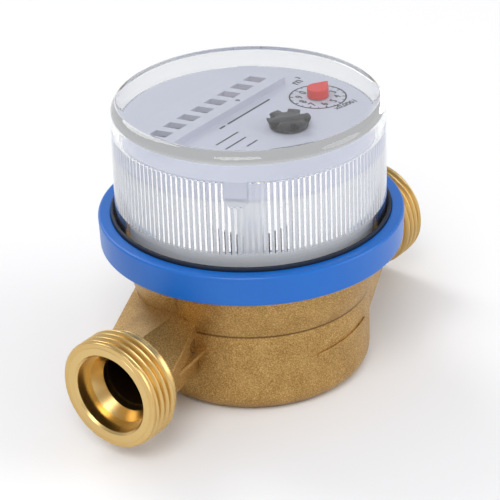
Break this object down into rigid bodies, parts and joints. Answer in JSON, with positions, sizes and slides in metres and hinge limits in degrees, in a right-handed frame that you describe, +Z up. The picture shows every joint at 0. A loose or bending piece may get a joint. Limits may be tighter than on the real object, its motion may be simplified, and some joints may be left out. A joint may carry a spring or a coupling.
{
  "type": "flow meter",
  "caption": "Single-jet flow meter: cast brass body with two threaded pipe ends, blue clamp ring, ribbed clear cap and a dial with number rollers, star wheel and pointer.",
  "frame": {"origin": "centre of the body's flat base, under the middle of the pipe run", "axes": "+X along the pipe towards the inlet, +Z up through the dial, +Y to the reader's far side of the dial"},
  "size_m": [0.11, 0.072, 0.0685],
  "materials": {
    "cast_brass": "cast, blasted; machined threads",
    "clear_plastic": "clear moulded plastic",
    "blue_plastic": "smooth moulded",
    "seal_rubber": "matt",
    "dial_white": "matt, printed",
    "white_plastic": "moulded",
    "roller_white": "moulded, printed",
    "star_black": "moulded",
    "pointer_red": "moulded",
    "gear_plastic": "moulded acetal",
    "impeller_plastic": "moulded",
    "plate_plastic": "glass-filled",
    "bearing_plastic": "moulded",
    "strainer_plastic": "moulded",
    "magnet": "ferrite",
    "jewel": "polished",
    "steel": "ground"
  },
  "bodies": {
    "meter_body": {"brass_body": "cast_brass", "inlet_strainer": "strainer_plastic", "pivot_pin": "steel", "plate_o_ring": "seal_rubber", "separating_plate": "plate_plastic", "guide_bush": "bearing_plastic", "shield_ring": "steel", "clamp_ring": "blue_plastic", "cap_seal": "seal_rubber"},
    "impeller": {"impeller": "impeller_plastic", "lower_jewel": "jewel", "impeller_magnet": "magnet", "impeller_spindle": "steel"},
    "head": {"clear_cap": "clear_plastic", "register_housing": "white_plastic", "train_plate": "white_plastic", "dial_plate": "dial_white", "roller_shaft": "steel", "transfer_shaft": "steel"},
    "follower": {"follower_shaft": "gear_plastic", "follower_magnet": "magnet"},
    "second_arbor": {"second_arbor": "gear_plastic"},
    "star": {"star_arbor": "gear_plastic", "star_wheel": "star_black"},
    "pointer": {"pointer_arbor": "gear_plastic", "pointer": "pointer_red"},
    "worm_arbor": {"worm_arbor": "gear_plastic"},
    "number_roller_1": {"number_roller_1": "roller_white"},
    "number_roller_2": {"number_roller_2": "roller_white"},
    "number_roller_3": {"number_roller_3": "roller_white"},
    "number_roller_4": {"number_roller_4": "roller_white"},
    "number_roller_5": {"number_roller_5": "roller_white"},
    "number_roller_6": {"number_roller_6": "roller_white"},
    "number_roller_7": {"number_roller_7": "roller_white"},
    "number_roller_8": {"number_roller_8": "roller_white"},
    "transfer_pinion_1": {"transfer_pinion_1": "gear_plastic"},
    "transfer_pinion_2": {"transfer_pinion_2": "gear_plastic"},
    "transfer_pinion_3": {"transfer_pinion_3": "gear_plastic"},
    "transfer_pinion_4": {"transfer_pinion_4": "gear_plastic"},
    "transfer_pinion_5": {"transfer_pinion_5": "gear_plastic"},
    "transfer_pinion_6": {"transfer_pinion_6": "gear_plastic"},
    "transfer_pinion_7": {"transfer_pinion_7": "gear_plastic"}
  },
  "joints": [
    {"name": "impeller_spin", "type": "hinge", "parent": "meter_body", "child": "impeller", "pos_m": [0, 0, 0.0164], "axis": [0, 0, -1], "continuous": true},
    {"name": "head_turn", "type": "hinge", "parent": "meter_body", "child": "head", "pos_m": [0, 0, 0.037], "axis": [0, 0, 1], "range_deg": [-177, 177]},
    {"name": "follower_spin", "type": "hinge", "parent": "head", "child": "follower", "pos_m": [0, 0, 0.038], "axis": [0, 0, -1], "continuous": true},
    {"name": "second_spin", "type": "hinge", "parent": "head", "child": "second_arbor", "pos_m": [0.00964, -0.00205, 0.041], "axis": [0, 0, -1], "continuous": true},
    {"name": "star_spin", "type": "hinge", "parent": "head", "child": "star", "pos_m": [0.00085, -0.01088, 0.041], "axis": [0, 0, -1], "continuous": true},
    {"name": "pointer_spin", "type": "hinge", "parent": "head", "child": "pointer", "pos_m": [0.0181, -0.00704, 0.043], "axis": [0, 0, -1], "continuous": true},
    {"name": "worm_spin", "type": "hinge", "parent": "head", "child": "worm_arbor", "pos_m": [0.01985, 0.00355, 0.045], "axis": [0, 0, -1], "continuous": true},
    {"name": "roller_1_spin", "type": "hinge", "parent": "head", "child": "number_roller_1", "pos_m": [0.01655, 0.0101, 0.0555], "axis": [-1, 0, 0], "continuous": true},
    {"name": "roller_2_spin", "type": "hinge", "parent": "head", "child": "number_roller_2", "pos_m": [0.01139, 0.0101, 0.0555], "axis": [-1, 0, 0], "continuous": true},
    {"name": "roller_3_spin", "type": "hinge", "parent": "head", "child": "number_roller_3", "pos_m": [0.00623, 0.0101, 0.0555], "axis": [-1, 0, 0], "continuous": true},
    {"name": "roller_4_spin", "type": "hinge", "parent": "head", "child": "number_roller_4", "pos_m": [0.00107, 0.0101, 0.0555], "axis": [-1, 0, 0], "continuous": true},
    {"name": "roller_5_spin", "type": "hinge", "parent": "head", "child": "number_roller_5", "pos_m": [-0.00409, 0.0101, 0.0555], "axis": [-1, 0, 0], "continuous": true},
    {"name": "roller_6_spin", "type": "hinge", "parent": "head", "child": "number_roller_6", "pos_m": [-0.00925, 0.0101, 0.0555], "axis": [-1, 0, 0], "continuous": true},
    {"name": "roller_7_spin", "type": "hinge", "parent": "head", "child": "number_roller_7", "pos_m": [-0.01441, 0.0101, 0.0555], "axis": [-1, 0, 0], "continuous": true},
    {"name": "roller_8_spin", "type": "hinge", "parent": "head", "child": "number_roller_8", "pos_m": [-0.01957, 0.0101, 0.0555], "axis": [-1, 0, 0], "continuous": true},
    {"name": "transfer_1_spin", "type": "hinge", "parent": "head", "child": "transfer_pinion_1", "pos_m": [0.01397, 0.0141, 0.05119], "axis": [-1, 0, 0], "continuous": true},
    {"name": "transfer_2_spin", "type": "hinge", "parent": "head", "child": "transfer_pinion_2", "pos_m": [0.00881, 0.0141, 0.05119], "axis": [-1, 0, 0], "continuous": true},
    {"name": "transfer_3_spin", "type": "hinge", "parent": "head", "child": "transfer_pinion_3", "pos_m": [0.00365, 0.0141, 0.05119], "axis": [-1, 0, 0], "continuous": true},
    {"name": "transfer_4_spin", "type": "hinge", "parent": "head", "child": "transfer_pinion_4", "pos_m": [-0.00151, 0.0141, 0.05119], "axis": [-1, 0, 0], "continuous": true},
    {"name": "transfer_5_spin", "type": "hinge", "parent": "head", "child": "transfer_pinion_5", "pos_m": [-0.00667, 0.0141, 0.05119], "axis": [-1, 0, 0], "continuous": true},
    {"name": "transfer_6_spin", "type": "hinge", "parent": "head", "child": "transfer_pinion_6", "pos_m": [-0.01183, 0.0141, 0.05119], "axis": [-1, 0, 0], "continuous": true},
    {"name": "transfer_7_spin", "type": "hinge", "parent": "head", "child": "transfer_pinion_7", "pos_m": [-0.01699, 0.0141, 0.05119], "axis": [-1, 0, 0], "continuous": true}
  ],
  "couplings": [
    {"joint": "follower_spin", "follows": "impeller_spin", "ratio": 1},
    {"joint": "second_spin", "follows": "impeller_spin", "ratio": -0.16667},
    {"joint": "star_spin", "follows": "impeller_spin", "ratio": -0.14815},
    {"joint": "pointer_spin", "follows": "impeller_spin", "ratio": 0.083333},
    {"joint": "worm_spin", "follows": "impeller_spin", "ratio": -0.16667},
    {"joint": "roller_1_spin", "follows": "impeller_spin", "ratio": 0.0083333},
    {"joint": "roller_2_spin", "follows": "impeller_spin", "ratio": 0.00083333},
    {"joint": "roller_3_spin", "follows": "impeller_spin", "ratio": 0.000083333},
    {"joint": "roller_4_spin", "follows": "impeller_spin", "ratio": 0.0000083333},
    {"joint": "roller_5_spin", "follows": "impeller_spin", "ratio": 0.00000083333},
    {"joint": "roller_6_spin", "follows": "impeller_spin", "ratio": 0.000000083333},
    {"joint": "roller_7_spin", "follows": "impeller_spin", "ratio": 0.0000000083333},
    {"joint": "roller_8_spin", "follows": "impeller_spin", "ratio": 0.00000000083333},
    {"joint": "transfer_1_spin", "follows": "impeller_spin", "ratio": -0.0020833},
    {"joint": "transfer_2_spin", "follows": "impeller_spin", "ratio": -0.00020833},
    {"joint": "transfer_3_spin", "follows": "impeller_spin", "ratio": -0.000020833},
    {"joint": "transfer_4_spin", "follows": "impeller_spin", "ratio": -0.0000020833},
    {"joint": "transfer_5_spin", "follows": "impeller_spin", "ratio": -0.00000020833},
    {"joint": "transfer_6_spin", "follows": "impeller_spin", "ratio": -0.000000020833},
    {"joint": "transfer_7_spin", "follows": "impeller_spin", "ratio": -0.0000000020833}
  ]
}
